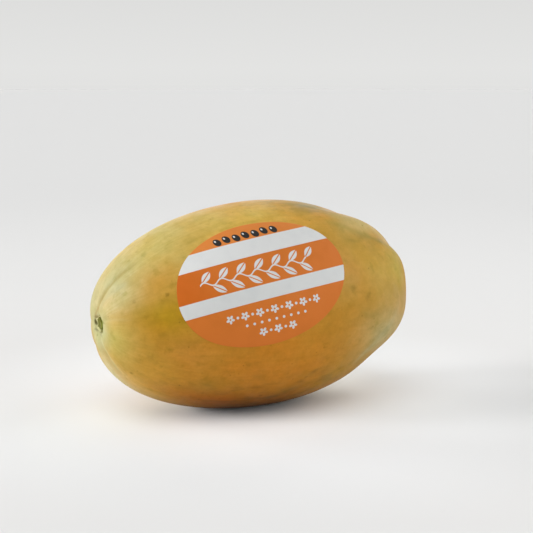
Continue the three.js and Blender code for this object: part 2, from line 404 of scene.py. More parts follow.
# Thin lines of tone, along the floors of grooves and the crests beside them: colour, latitude and
# turn of the start, latitude and turn of the end, half width in millimetres, and strength.
TONE_LINES = (
    # The long valley of the stem end: its olive floor is partly the skin's colour and partly
    # painted shade in the crease, and the pale edges of the lobes beside it are partly painted
    # highlights.
    ((0.280, 0.215, 0.055), (9, 7), (36, 18), 1.8, 0.65),
    ((0.270, 0.215, 0.060), (10, 9), (15, 10), 1.8, 0.35),
    ((0.375, 0.340, 0.170), (8, 20), (28, 32), 2.2, 0.60),
    ((0.400, 0.350, 0.160), (8, -4), (30, 4), 1.3, 0.45),
    # Pale lines along the other valleys, painted highlights.
    ((0.430, 0.385, 0.185), (7, 66), (24, 74), 0.9, 0.25),
    ((0.430, 0.385, 0.190), (7, 161), (26, 166), 1.0, 0.60),
    ((0.400, 0.350, 0.160), (7, 219), (22, 220), 1.2, 0.50),
    ((0.400, 0.350, 0.160), (7, 270), (22, 271), 1.2, 0.50),
    ((0.400, 0.350, 0.160), (7, 346), (20, 347), 1.2, 0.50),
    # Green floors of the grooves of the blossom end, and the pale ridge above the first, a painted
    # highlight.
    ((0.240, 0.215, 0.034), (108, 33), (145, 50), 2.3, 0.32),
    ((0.500, 0.385, 0.150), (112, 27), (144, 34), 3.4, 0.60),
    ((0.210, 0.165, 0.020), (98, 12), (126, 20), 2.6, 0.60),
    ((0.240, 0.200, 0.030), (112, 92), (126, 101), 2.6, 0.15),
    ((0.430, 0.335, 0.150), (114, 128), (138, 94), 3.2, 0.50),
    ((0.250, 0.200, 0.030), (116, 176), (150, 188), 2.8, 0.60),
    ((0.250, 0.200, 0.030), (116, 242), (150, 254), 2.8, 0.60),
    ((0.250, 0.200, 0.030), (116, 314), (150, 327), 2.8, 0.60),
)
# How gently a line begins and ends, in degrees of latitude.
LINE_BEGINS = 2.5
LINE_ENDS = 5
# Green blotches are thickest here: latitude, turn, spread of each in degrees, and strength.
GREEN_PLACES = (
    (104, 12, 18, 16, 1.00),
    (128, 46, 16, 9, 0.60),
    (122, 104, 22, 16, 0.45),
    (84, 142, 42, 22, 1.00),
    (66, 30, 20, 22, 0.25),
    (50, 100, 30, 30, 0.35),
    (116, 345, 20, 22, 0.80),
    (124, 196, 26, 30, 0.80),
    (110, 275, 22, 22, 0.60),
)
# The latitudes where the fine streaks along the fruit are gone and where they are full.
STREAKS_FADE = (150, 70)
# The scar as it looks from the stem end, in millimetres from the middle of the stub towards the
# near side and up. The green cut stem has its corners clockwise, its far and near tones, and where
# they meet. The dark pit beside it is painted shade of the hollow there, with its middle and half
# sizes. The thin lines have colour, start, end, half width and strength.
CUT_STEM = ((2.5, 6.0), (7.3, 2.8), (5.2, -3.2), (-1.7, -1.7), (-1.3, 3.2))
CUT_TONES = ((0.105, 0.100, 0.006), (0.200, 0.215, 0.040))
CUT_TONES_AT = (1.5, 6.5)
CUT_EDGE = 0.5
PIT_SHADE_OVAL = (-4.2, 0.5, 2.0, 1.7)
PIT_SHADE_EDGE = (1.3, 0.7)
PIT_SHADE_TONE = (0.078, 0.068, 0.014)
SCAR_LINES = (
    ((0.340, 0.310, 0.140), (-1.9, 4.0), (-2.2, -1.4), 0.5, 0.80),
    ((0.400, 0.370, 0.160), (-4.1, -1.8), (3.8, -4.2), 0.5, 0.70),
    ((0.180, 0.170, 0.075), (-5.6, -3.3), (3.4, -5.6), 0.50, 0.70),
    ((0.290, 0.205, 0.070), (0.6, 9.4), (-4.6, 3.6), 0.7, 0.70),
    ((0.200, 0.185, 0.070), (7.0, 2.4), (8.4, 2.4), 0.5, 0.60),
)


def overlay(tones, part, colour):
    """Lays a colour over the tones, as far as part says."""
    tones += part[..., None] * (np.array(colour) - tones)


def near_place(latitude, turn, middle, side, length, width):
    """How near a point lies to a place on the skin, from 0 to 1."""
    along = (latitude - middle) / length
    across = turn_between(side, turn) / width
    return np.exp(-along ** 2 - across ** 2)


def tone_line(latitude, turn, start, end, half_width):
    """How near a point lies to a line on the skin, from 0 to 1."""
    part = np.clip((latitude - start[0]) / (end[0] - start[0]), 0, 1)
    middle = start[1] + (end[1] - start[1]) * part
    radius = GIRTH_RADIUS * np.sin(np.radians(latitude))
    off = radius * np.radians(turn_between(middle, turn)) / half_width
    begins = ramp(start[0] - LINE_BEGINS, start[0] + LINE_BEGINS, latitude)
    ends = ramp(end[0] + LINE_ENDS, end[0] - LINE_ENDS, latitude)
    return begins * ends * np.exp(-off * off)


def skin_tones(latitude, turn):
    """The colour of the skin at each point, with its painted light and shade, before its fine
    mottling.
    """
    tones = np.ones((*latitude.shape, 3)) * GROUND_TONE
    for colour, *place, strength in TONE_PATCHES:
        overlay(tones, strength * near_place(latitude, turn, *place), colour)
    for *place, strength in MARKS:
        part = strength * near_place(latitude, turn, *place)
        tones *= 1 - part[..., None] * (1 - np.array(MARK_TINT))
    overlay(tones, ramp(*STEM_TONE_FADE, latitude), STEM_TONE)
    for colour, start, end, half_width, strength in TONE_LINES:
        overlay(tones, strength * tone_line(latitude, turn, start, end, half_width), colour)
    return tones


def inside_outline(x, y, corners, edge):
    """1 inside a convex outline given clockwise, with a soft edge."""
    part = np.ones_like(x)
    for (x0, y0), (x1, y1) in zip(corners, corners[1:] + corners[:1]):
        depth = ((x - x0) * (y1 - y0) - (y - y0) * (x1 - x0)) / math.hypot(x1 - x0, y1 - y0)
        part = np.minimum(part, ramp(-edge, edge, depth))
    return part


def near_line(x, y, start, end, half_width):
    """How near a place lies to a straight line, from 0 to 1."""
    run, rise = end[0] - start[0], end[1] - start[1]
    part = ((x - start[0]) * run + (y - start[1]) * rise) / (run ** 2 + rise ** 2)
    part = np.clip(part, 0, 1)
    off = np.hypot(x - start[0] - part * run, y - start[1] - part * rise) / half_width
    return np.exp(-off * off)


def paint_scar(tones, x, y):
    """Paints the cut stem, the painted shade of the pit and the lines round them, by their places
    in the end view.
    """
    for colour, start, end, half_width, strength in SCAR_LINES:
        overlay(tones, strength * near_line(x, y, start, end, half_width), colour)
    cut = np.ones((len(x), 3)) * CUT_TONES[0]
    overlay(cut, ramp(*CUT_TONES_AT, x), CUT_TONES[1])
    overlay(tones, inside_outline(x, y, CUT_STEM, CUT_EDGE), cut)
    # The dark pit is painted shade of the hollow beside the stub.
    out = np.hypot((x - PIT_SHADE_OVAL[0]) / PIT_SHADE_OVAL[2], (y - PIT_SHADE_OVAL[1]) / PIT_SHADE_OVAL[3])
    overlay(tones, ramp(*PIT_SHADE_EDGE, out), PIT_SHADE_TONE)


def greenness(latitude, turn):
    """How much green is left in the skin, from 0 to 1."""
    total = np.zeros(latitude.shape)
    for *place, strength in GREEN_PLACES:
        total = np.maximum(total, strength * near_place(latitude, turn, *place))
    return total


def barrel_points(latitude, turn):
    """The skin as a straight barrel, in metres, so that streaks can run along the fruit."""
    angle = np.radians(turn)
    radius = GIRTH_RADIUS * MM
    along = STEM_REACH * MM * np.radians(latitude)
    return np.stack([radius * np.cos(angle), radius * np.sin(angle), along], axis=-1)


def stub_profile():
    """Radius and height of the finely divided stub, from near its middle out to the scar."""
    rings = np.array([(0.0, STUB_MIDDLE), *reversed(STUB_RINGS)])
    place = np.concatenate([[0.0], np.cumsum(np.hypot(*np.diff(rings, axis=0).T))])
    step = place[-1] * (np.arange(STUB_STEPS) + 1) / STUB_STEPS
    return np.interp(step, place, rings[:, 0]), np.interp(step, place, rings[:, 1])


def skin_shift(rings):
    """How far to move the skin, so that it is centred on its solid and stays on the table."""
    points = rings.reshape(-1, 3)
    middle = (points.min(axis=0) + points.max(axis=0)) / 2
    lowest, highest = (np.array(corner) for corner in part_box("fruit"))
    shift = (lowest + highest) / 2 - middle * MM
    shift[2] = 0
    return shift


def with_poles(first, ring_values, last):
    """One value a vertex, from those of the rings and of the two poles."""
    return np.concatenate([[first], ring_values, [last]])


def store_skin_looks(mesh, latitude, turn, out):
    """Stores what the material reads: tone, rolled-out place, and where streaks, green and specks
    show. The stub, which is at latitude 0, has no specks."""
    tones = skin_tones(latitude, turn)
    paint_scar(tones, out * np.sin(np.radians(turn)), out * np.cos(np.radians(turn)))
    streaks = ramp(*STREAKS_FADE, latitude)
    point_attribute(mesh, "tone", tones)
    point_attribute(mesh, "barrel", barrel_points(latitude, turn))
    point_attribute(mesh, "marks", np.column_stack([
        streaks, greenness(latitude, turn), latitude > 0,
    ]))


def make_skin():
    turn = -360 * np.arange(SKIN_COLUMNS) / SKIN_COLUMNS
    step = (180 - SCAR_RIM_LATITUDE) / SKIN_ROWS
    latitude = SCAR_RIM_LATITUDE + step * np.arange(SKIN_ROWS)
    radius, height = stub_profile()
    stub = stub_points(radius[:, None], height[:, None], np.tile(turn, (STUB_STEPS, 1)))
    rings = on_table(np.concatenate([stub, body_points(latitude[:, None], turn[None, :])]))
    poles = on_table(np.array([
        stub_points(0.0, STUB_MIDDLE, np.zeros(1))[0],
        body_points(180.0, 0.0),
    ]))
    shift = skin_shift(rings)
    piece = closed_mesh("papaya_skin", rings * MM + shift, *(poles * MM + shift))
    latitudes = np.concatenate([np.zeros(STUB_STEPS), latitude])
    # Distance from the axis, kept wide beyond the girth, where the paint of the scar must not show.
    outs = np.concatenate([radius, GIRTH_RADIUS * np.sin(np.radians(np.minimum(latitude, 90)))])
    store_skin_looks(
        piece.data,
        with_poles(0.0, np.repeat(latitudes, SKIN_COLUMNS), 180.0),
        with_poles(0.0, np.tile(turn, len(rings)), 0.0),
        with_poles(0.0, np.repeat(outs, SKIN_COLUMNS), GIRTH_RADIUS),
    )
    return piece, shift


def sheet_points(along, across, lift, shift):
    """Points of the sticker: along and across the sheet from its middle, above the skin."""
    tilt = math.radians(STICKER_TILT)
    wide = across * (1 + STICKER_SPREAD * along)
    down = along * math.cos(tilt) - wide * math.sin(tilt)
    around = along * math.sin(tilt) + wide * math.cos(tilt) - STICKER_BEND * down ** 2
    latitude = STICKER_LATITUDE + np.degrees(down / STICKER_MERIDIAN)
    turn = STICKER_TURN + np.degrees(around / (GIRTH_RADIUS * np.sin(np.radians(latitude))))
    return on_table(body_points(latitude, turn, lift)) * MM + shift


def rounded(part):
    """Makes the oval of the sticker leaner or fuller than an ellipse."""
    return np.sign(part) * np.abs(part) ** (2 / STICKER_FULLNESS)


def make_sticker(shift):
    angle = -2 * math.pi * np.arange(STICKER_SPOKES) / STICKER_SPOKES
    size = (np.arange(STICKER_RINGS) + 1) / STICKER_RINGS
    size = np.insert(size, -1, STICKER_EDGE)[:, None]
    along = STICKER_HALF_LENGTH * size * rounded(np.cos(angle))
    across = STICKER_HALF_WIDTH * size * rounded(np.sin(angle))
    front = sheet_points(along, across, STICKER_FRONT, shift)
    back = sheet_points(along[::-1], across[::-1], STICKER_BACK, shift)
    middle = np.zeros(1)
    poles = [sheet_points(middle, middle, lift, shift)[0] for lift in (STICKER_FRONT, STICKER_BACK)]
    piece = closed_mesh("paper_sticker", np.concatenate([front, back]), *poles)
    sheet = np.stack([along, across, np.zeros_like(along)], axis=-1)
    pole = np.zeros((1, 3))
    point_attribute(piece.data, "sheet", np.concatenate([
        pole, sheet.reshape(-1, 3), sheet[::-1].reshape(-1, 3), pole,
    ]))
    return piece


# The numbers of a mix node's sockets for its two colours, and for the blend of them.
MIX_COLOURS = (6, 7)
MIX_RESULT = 2


class Nodes:
    """The nodes of one material, made a line at a time."""

    def __init__(self, name):
        self.material = bpy.data.materials.new(name)
        self.material.use_nodes = True
        self.tree = self.material.node_tree
        self.shader = self.tree.nodes["Principled BSDF"]

    def put(self, socket, value):
        """Links another socket in, or sets a number, a vector or a colour."""
        if isinstance(value, bpy.types.NodeSocket):
            self.tree.links.new(value, socket)
        elif hasattr(value, "__len__") and len(value) == 3 and socket.type == "RGBA":
            socket.default_value = (*value, 1.0)
        else:
            socket.default_value = value

    def math(self, operation, first, second=0.0, clamp=False):
        node = self.tree.nodes.new("ShaderNodeMath")
        node.operation = operation
        node.use_clamp = clamp
        self.put(node.inputs[0], first)
        self.put(node.inputs[1], second)
        return node.outputs[0]

    def vector(self, operation, first, second):
        node = self.tree.nodes.new("ShaderNodeVectorMath")
        node.operation = operation
        self.put(node.inputs[0], first)
        self.put(node.inputs[1], second)
        return node.outputs[0]

    def attribute(self, name, output="Vector"):
        node = self.tree.nodes.new("ShaderNodeAttribute")
        node.attribute_name = name
        return node.outputs[output]

    def length(self, vector):
        node = self.tree.nodes.new("ShaderNodeVectorMath")
        node.operation = "LENGTH"
        self.put(node.inputs[0], vector)
        return node.outputs["Value"]

    def split(self, vector):
        node = self.tree.nodes.new("ShaderNodeSeparateXYZ")
        self.put(node.inputs[0], vector)
        return node.outputs

    def place(self):
        """Where the point is, in metres."""
        return self.tree.nodes.new("ShaderNodeTexCoord").outputs["Object"]

    def noise(self, where, scale, detail, roughness=0.5):
        """Even noise from 0 to 1, mostly near the middle."""
        node = self.tree.nodes.new("ShaderNodeTexNoise")
        self.put(node.inputs["Vector"], where)
        self.put(node.inputs["Scale"], scale)
        self.put(node.inputs["Detail"], detail)
        self.put(node.inputs["Roughness"], roughness)
        return node.outputs["Fac"]

    def cells(self, where, scale):
        """Distance to the nearest of many scattered points, in cells, and a number for each."""
        node = self.tree.nodes.new("ShaderNodeTexVoronoi")
        self.put(node.inputs["Vector"], where)
        self.put(node.inputs["Scale"], scale)
        return node.outputs["Distance"], self.split(node.outputs["Color"])[0]

    def tint(self, part, colour, factor):
        """Multiplies a colour by a factor, as far as part says."""
        return self.mix(part, colour, self.vector("MULTIPLY", colour, factor))

    def total(self, *numbers):
        result = numbers[0]
        for number in numbers[1:]:
            result = self.math("ADD", result, number)
        return result

    def product(self, *numbers):
        result = numbers[0]
        for number in numbers[1:]:
            result = self.math("MULTIPLY", result, number)
        return result

    def smooth(self, value, start, end, low=0.0, high=1.0):
        """Runs smoothly from low at start to high at end."""
        node = self.tree.nodes.new("ShaderNodeMapRange")
        node.interpolation_type = "SMOOTHSTEP"
        for socket, number in zip(node.inputs, (value, start, end, low, high)):
            self.put(socket, number)
        return node.outputs[0]

    def mix(self, part, first, second):
        """Blends from the first colour to the second, as far as part says."""
        node = self.tree.nodes.new("ShaderNodeMix")
        node.data_type = "RGBA"
        self.put(node.inputs[0], part)
        self.put(node.inputs[MIX_COLOURS[0]], first)
        self.put(node.inputs[MIX_COLOURS[1]], second)
        return node.outputs[MIX_RESULT]

    def bump(self, height):
        """Raises the surface by a height in metres."""
        node = self.tree.nodes.new("ShaderNodeBump")
        self.put(node.inputs["Strength"], 1.0)
        self.put(node.inputs["Distance"], 1.0)
        self.put(node.inputs["Height"], height)
        return node.outputs[0]

    def finish(self, colour, roughness, specular, height=None):
        """Sets the surface of the material, and returns the material."""
        self.put(self.shader.inputs["Base Color"], colour)
        self.put(self.shader.inputs["Roughness"], roughness)
        self.put(self.shader.inputs["Specular IOR Level"], specular)
        if height is not None:
            self.put(self.shader.inputs["Normal"], self.bump(height))
        return self.material


# Mottling of the skin, from broad drifts of ripeness to fine grain: size in millimetres, detail,
# and the tints where the noise is low and where it is high.
MOTTLING = (
    (45, 1.0, (1.03, 0.965, 0.90), (0.97, 1.035, 1.08)),
    (19, 2.0, (1.02, 0.98, 0.92), (0.98, 1.02, 1.08)),
    (8.0, 3.0, (0.955, 0.960, 0.90), (1.040, 1.035, 1.08)),
    (3.4, 2.0, (0.965, 0.970, 0.94), (1.035, 1.035, 1.05)),
    (1.2, 1.0, (0.980, 0.980, 0.975), (1.020, 1.020, 1.025)),
)
# Each layer of the mottling is moved by so many metres more than the last, so that none match.
MOTTLING_STEP = 0.37
MOTTLING_RANGE = (0.32, 0.68)
# Soft dark blotches: size, detail, where the noise starts to show and is full, and tint.
BLOTCH_SIZE = 6.5
BLOTCH_DETAIL = 3.0
BLOTCH_RANGE = (0.56, 0.76)
BLOTCH_TINT = (0.84, 0.87, 0.74)
# Green blotches, which show where green is left: width and length in millimetres, detail and
# roughness of their edges, where the noise starts to show and is full, and tint.
GREEN_SIZE = (8.0, 17)
GREEN_DETAIL = (3.0, 0.55)
GREEN_RANGE = (0.42, 0.68)
GREEN_TINT = (0.66, 0.76, 0.72)
# Dark specks, small and large: spacing and radius in millimetres, and the share of places left
# bare. A speck is stronger the further the chance of its place is above that share, and the share
# is smaller where green is left.
SPECKS = ((5.2, 0.75, 0.45), (15.0, 1.9, 0.35))
SPECK_FULL_AT = 0.6
SPECKS_IN_GREEN = 0.3
SPECK_TINT = (0.62, 0.64, 0.52)
# The full core of a speck as a share of its radius, the waves of its edge in one radius, how far
# the edge strays as a share of the spacing, and how deep a speck is sunk in millimetres.
SPECK_CORE = 0.2
SPECK_WAVES = 2.2
SPECK_RAGGEDNESS = 0.10
SPECK_SUNK = 0.02
# Fine streaks along the fruit, some pale and some dark: width and length in millimetres, detail,
# where the noise starts to show and is full, and tints.
STREAK_SIZE = (2.8, 30)
STREAK_DETAIL = 2.0
STREAK_PALE_RANGE = (0.52, 0.72)
STREAK_DARK_RANGE = (0.48, 0.28)
STREAK_PALE = (1.035, 1.045, 1.14)
STREAK_DARK = (0.945, 0.955, 0.90)
# Fine dimples and gentle unevenness: size and height in millimetres.
DIMPLES = (1.1, 0.030)
UNEVENNESS = (8.0, 0.16)
# The satin of the skin is patchy: size of the patches in millimetres, the noise at the smoothest
# and at the roughest, and the roughness of both.
SATIN_SIZE = 11
SATIN_DETAIL = 2.0
SATIN_RANGE = (0.3, 0.7, 0.46, 0.60)
SKIN_SPECULAR = 0.11


def mottled(nodes, colour, place):
    for number, (size, detail, low, high) in enumerate(MOTTLING):
        where = nodes.vector("ADD", place, (MOTTLING_STEP * (number + 1),) * 3)
        part = nodes.smooth(nodes.noise(where, 1 / (size * MM), detail), *MOTTLING_RANGE)
        colour = nodes.vector("MULTIPLY", colour, nodes.mix(part, low, high))
    noise = nodes.noise(place, 1 / (BLOTCH_SIZE * MM), BLOTCH_DETAIL)
    return nodes.tint(nodes.smooth(noise, *BLOTCH_RANGE), colour, BLOTCH_TINT)


def along_fruit(nodes, size, *detail):
    """Noise drawn out along the fruit, of a width and a length in millimetres."""
    width, length = size
    across = 1 / (width * MM)
    where = nodes.vector("MULTIPLY", nodes.attribute("barrel"), (across, across, 1 / (length * MM)))
    return nodes.noise(where, 1.0, *detail)


def streaked(nodes, colour, streaks):
    noise = along_fruit(nodes, STREAK_SIZE, STREAK_DETAIL)
    pale = nodes.product(streaks, nodes.smooth(noise, *STREAK_PALE_RANGE))
    dark = nodes.product(streaks, nodes.smooth(noise, *STREAK_DARK_RANGE))
    return nodes.tint(dark, nodes.tint(pale, colour, STREAK_PALE), STREAK_DARK)


def green_blotches(nodes, colour, green):
    noise = along_fruit(nodes, GREEN_SIZE, *GREEN_DETAIL)
    part = nodes.product(green, nodes.smooth(noise, *GREEN_RANGE))
    return nodes.tint(part, colour, GREEN_TINT)


def specks(nodes, place, green, spacing, radius, bare):
    """Where specks of one size show, from 0 to 1."""
    distance, chance = nodes.cells(place, 1 / (spacing * MM))
    wave = nodes.noise(place, SPECK_WAVES / (radius * MM), 1.0)
    ragged = nodes.product(nodes.math("SUBTRACT", wave, 0.5), SPECK_RAGGEDNESS)
    edge = radius / spacing
    spot = nodes.smooth(nodes.total(distance, ragged), edge, edge * SPECK_CORE)
    bare = nodes.math("SUBTRACT", bare, nodes.product(green, SPECKS_IN_GREEN))
    shown = nodes.smooth(nodes.math("SUBTRACT", chance, bare), 0.0, SPECK_FULL_AT)
    return nodes.product(spot, shown)


def skin_material():
    nodes = Nodes("papaya_skin")
    place = nodes.place()
    streaks, green, speckled = nodes.split(nodes.attribute("marks"))
    colour = nodes.attribute("tone", "Color")
    colour = mottled(nodes, colour, place)
    colour = streaked(nodes, colour, streaks)
    colour = green_blotches(nodes, colour, green)
    spots = 0.0
    for sizes in SPECKS:
        part = nodes.product(specks(nodes, place, green, *sizes), speckled)
        colour = nodes.tint(part, colour, SPECK_TINT)
        spots = nodes.total(spots, part)
    height = nodes.product(spots, -SPECK_SUNK * MM)
    for size, rise in (DIMPLES, UNEVENNESS):
        noise = nodes.noise(place, 1 / (size * MM), 1.0)
        height = nodes.total(height, nodes.product(noise, rise * MM))
    patches = nodes.noise(place, 1 / (SATIN_SIZE * MM), SATIN_DETAIL)
    return nodes.finish(colour, nodes.smooth(patches, *SATIN_RANGE), SKIN_SPECULAR, height)


# Print of the sticker, in millimetres across the sheet. Levels are measured from the middle
# down, along lines that run with the bands. Light and shade are painted on the ink: the orange is
# paler above one level, as lit from above, and deeper between the bands towards the stem, and the
# white is duller below one level, a painted shade. Each range goes from where a change starts to
# where it is full.
PAPER_ORANGE = (0.562, 0.151, 0.017)
PAPER_ORANGE_LIT_TOP = (0.630, 0.202, 0.038)
PAPER_ORANGE_SHADED_STEM = (0.515, 0.112, 0.004)
PAPER_WHITE = (0.632, 0.640, 0.636)
PAPER_WHITE_SHADED_LOW = (0.588, 0.600, 0.596)
PRINT_BLACK = (0.022, 0.022, 0.021)
ORANGE_LIT_TOP_LEVELS = (-14, -27)
ORANGE_SHADED_STEM_ALONG = (-12, -50)
ORANGE_SHADED_STEM_LEVELS = (14, 8)
WHITE_SHADED_LOW_LEVELS = (-16, 3)
BAND_SLOPE = 0.0603
UPPER_BAND = (-26.86, -15.37)
LOWER_BAND = (3.0, 11.65)
# A row of black seeds above the upper band: first place, spacing and count, level, half sizes,
# how far every second one is raised, and the place and half sizes of the glint on each.
SEED_ROW = (-15.5, 6.0, 7)
SEED_LEVEL = -30.2
SEED_SIZE = (2.3, 2.9)
SEED_STAGGER = 0.6
GLINT = (-0.7, -1.1, 0.55, 0.8)
# A garland of leaves between the bands: the vine from end to end, and for the leaves on each
# side of it, the place of leaf 0 and the numbers of the first and the last.
GARLAND_LEVEL = -5.4
GARLAND_SPACING = 11.0
VINE_ENDS = (-38.5, 29.8)
VINE_WAVE = 1.4
VINE_HALF_WIDTH = 0.45
LEAF_HALF_LENGTH = 4.7
LEAF_HALF_WIDTH = 2.1
LEAF_TURN = 38
LEAF_OUT = 4.3
LEAF_RIB = 0.32
LEAVES_ABOVE = (0.0, -3, 3)
LEAVES_BELOW = (5.5, -3, 2)
# Rows of blossoms with dots between them, and a row of dots: level, and number on each side.
BLOSSOM_ROWS = ((18.0, 3), (29.8, 1))
BLOSSOM_SPACING = 9.0
BLOSSOM_RADIUS = 2.6
BLOSSOM_HEART = 0.55
PETALS = 5
PETAL_DEPTH = 0.62
DOT_ROW = (23.9, 4)
DOT_SPACING = 4.5
DOT_RADIUS = 0.8
# The soft edge of all printed forms.
EDGE = 0.12
# The paper: fine grain and broad clouds, as steps a millimetre, where each starts to show and is
# full, and tint. The clouds change its roughness too, and the sheet has slow waves.
GRAIN = 2.2
GRAIN_RANGE = (0.35, 0.7)
GRAIN_TINT = (0.97, 0.97, 0.965)
GRAIN_HEIGHT = 0.006
CLOUD = 0.09
CLOUD_RANGE = (0.45, 0.7)
CLOUD_TINT = (0.96, 0.965, 0.97)
PAPER_DETAIL = 2.0
PAPER_ROUGHNESS = (0.3, 0.7, 0.52, 0.64)
PAPER_SPECULAR = 0.2
WAVE = 0.12
WAVE_HEIGHT = 0.10


def inside(nodes, amount):
    """1 where an amount in millimetres is above 0, with a soft edge."""
    return nodes.smooth(amount, -EDGE, EDGE)


def repeat(nodes, value, spacing, start=0.0):
    """Where a value lies from the middle of its own cell, and the number of that cell."""
    steps = nodes.math("DIVIDE", nodes.math("SUBTRACT", value, start), spacing)
    number = nodes.math("ROUND", steps)
    return nodes.product(nodes.math("SUBTRACT", steps, number), spacing), number


def within(nodes, value, low, high):
    """1 where a value lies between two others."""
    above = nodes.math("GREATER_THAN", value, low)
    return nodes.product(above, nodes.math("LESS_THAN", value, high))


def numbered(nodes, number, first, last):
    """1 in the cells from the first number to the last."""
    return within(nodes, number, first - 0.5, last + 0.5)


def bands(nodes, level):
    """The two white bands."""
    parts = []
    for top, bottom in (UPPER_BAND, LOWER_BAND):
        parts.append(nodes.product(
            inside(nodes, nodes.math("SUBTRACT", level, top)),
            inside(nodes, nodes.math("SUBTRACT", bottom, level)),
        ))
    return nodes.total(*parts)


def hypot(nodes, x, y):
    return nodes.math("SQRT", nodes.total(nodes.product(x, x), nodes.product(y, y)))


def oval(nodes, x, y, half_length, half_width):
    """How far inside an oval a place lies, roughly in millimetres."""
    x = nodes.math("DIVIDE", x, half_length)
    y = nodes.math("DIVIDE", y, half_width)
    return nodes.product(nodes.math("SUBTRACT", 1.0, hypot(nodes, x, y)), half_width)


def seeds(nodes, along, level):
    """The black seeds, and the pale glint on each."""
    first, spacing, count = SEED_ROW
    x, number = repeat(nodes, along, spacing, first)
    odd = nodes.math("PINGPONG", number, 1.0)
    y = nodes.total(level, nodes.product(odd, SEED_STAGGER), -SEED_LEVEL)
    shown = numbered(nodes, number, 0, count - 1)
    seed = nodes.product(shown, inside(nodes, oval(nodes, x, y, *SEED_SIZE)))
    x = nodes.math("SUBTRACT", x, GLINT[0])
    y = nodes.math("SUBTRACT", y, GLINT[1])
    glint = nodes.product(shown, inside(nodes, oval(nodes, x, y, *GLINT[2:])))
    return seed, glint


def leaves(nodes, along, level, side, start, first, last):
    """A row of leaves, on the side given by 1 for below the vine and -1 for above."""
    x, number = repeat(nodes, along, GARLAND_SPACING, start)
    y = nodes.math("SUBTRACT", level, GARLAND_LEVEL + side * LEAF_OUT)
    angle = math.radians(LEAF_TURN * side)
    length = nodes.total(nodes.product(x, math.cos(angle)), nodes.product(y, math.sin(angle)))
    width = nodes.total(nodes.product(y, math.cos(angle)), nodes.product(x, -math.sin(angle)))
    width = nodes.math("ABSOLUTE", width)
    reach = nodes.math("DIVIDE", length, LEAF_HALF_LENGTH)
    edge = nodes.product(nodes.math("SUBTRACT", 1.0, nodes.product(reach, reach)), LEAF_HALF_WIDTH)
    leaf = inside(nodes, nodes.math("SUBTRACT", edge, width))
    beside_rib = inside(nodes, nodes.math("SUBTRACT", width, LEAF_RIB))
    return nodes.product(leaf, beside_rib, numbered(nodes, number, first, last))


def garland(nodes, along, level):
    """The waving vine and the leaves on both sides of it."""
    wave = nodes.math("SINE", nodes.product(along, 2 * math.pi / GARLAND_SPACING))
    middle = nodes.total(nodes.product(wave, VINE_WAVE), GARLAND_LEVEL)
    off = nodes.math("ABSOLUTE", nodes.math("SUBTRACT", level, middle))
    vine = inside(nodes, nodes.math("SUBTRACT", VINE_HALF_WIDTH, off))
    return nodes.total(
        nodes.product(vine, within(nodes, along, *VINE_ENDS)),
        leaves(nodes, along, level, -1, *LEAVES_ABOVE),
        leaves(nodes, along, level, 1, *LEAVES_BELOW),
    )


def blossom(nodes, x, y):
    """A flower of rounded petals round a small open heart."""
    out = hypot(nodes, x, y)
    angle = nodes.math("ARCTAN2", x, y)
    petal = nodes.math("ABSOLUTE", nodes.math("COSINE", nodes.product(angle, PETALS / 2)))
    reach = nodes.total(nodes.product(petal, PETAL_DEPTH), 1 - PETAL_DEPTH)
    flower = inside(nodes, nodes.math("SUBTRACT", nodes.product(reach, BLOSSOM_RADIUS), out))
    return nodes.product(flower, inside(nodes, nodes.math("SUBTRACT", out, BLOSSOM_HEART)))


def dots(nodes, along, y, spacing, start, first, last):
    x, number = repeat(nodes, along, spacing, start)
    dot = inside(nodes, oval(nodes, x, y, DOT_RADIUS, DOT_RADIUS))
    return nodes.product(dot, numbered(nodes, number, first, last))


def blossoms(nodes, along, level):
    """The rows of blossoms, each with a dot after it, and the row of dots."""
    parts = []
    for row_level, count in BLOSSOM_ROWS:
        x, number = repeat(nodes, along, BLOSSOM_SPACING)
        y = nodes.math("SUBTRACT", level, row_level)
        parts.append(nodes.product(blossom(nodes, x, y), numbered(nodes, number, -count, count)))
        parts.append(dots(nodes, along, y, BLOSSOM_SPACING, BLOSSOM_SPACING / 2, -count, count - 1))
    row_level, count = DOT_ROW
    y = nodes.math("SUBTRACT", level, row_level)
    parts.append(dots(nodes, along, y, DOT_SPACING, 0.0, -count, count))
    return nodes.total(*parts)


def printed(nodes, along, level):
    """The colour of the ink and the paper, with painted light and shade across it."""
    # Painted shade deepens the orange towards the stem and dulls the white low down; painted light
    # pales the orange on top.
    shade_at_stem = nodes.product(
        nodes.smooth(along, *ORANGE_SHADED_STEM_ALONG),
        nodes.smooth(level, *ORANGE_SHADED_STEM_LEVELS),
    )
    orange = nodes.mix(shade_at_stem, PAPER_ORANGE, PAPER_ORANGE_SHADED_STEM)
    orange = nodes.mix(nodes.smooth(level, *ORANGE_LIT_TOP_LEVELS), orange, PAPER_ORANGE_LIT_TOP)
    white = nodes.mix(nodes.smooth(level, *WHITE_SHADED_LOW_LEVELS), PAPER_WHITE, PAPER_WHITE_SHADED_LOW)
    bare = nodes.math("ADD", bands(nodes, level), garland(nodes, along, level))
    bare = nodes.math("ADD", bare, blossoms(nodes, along, level), clamp=True)
    black, glint = seeds(nodes, along, level)
    colour = nodes.mix(bare, orange, white)
    colour = nodes.mix(black, colour, PRINT_BLACK)
    return nodes.mix(glint, colour, PAPER_WHITE)


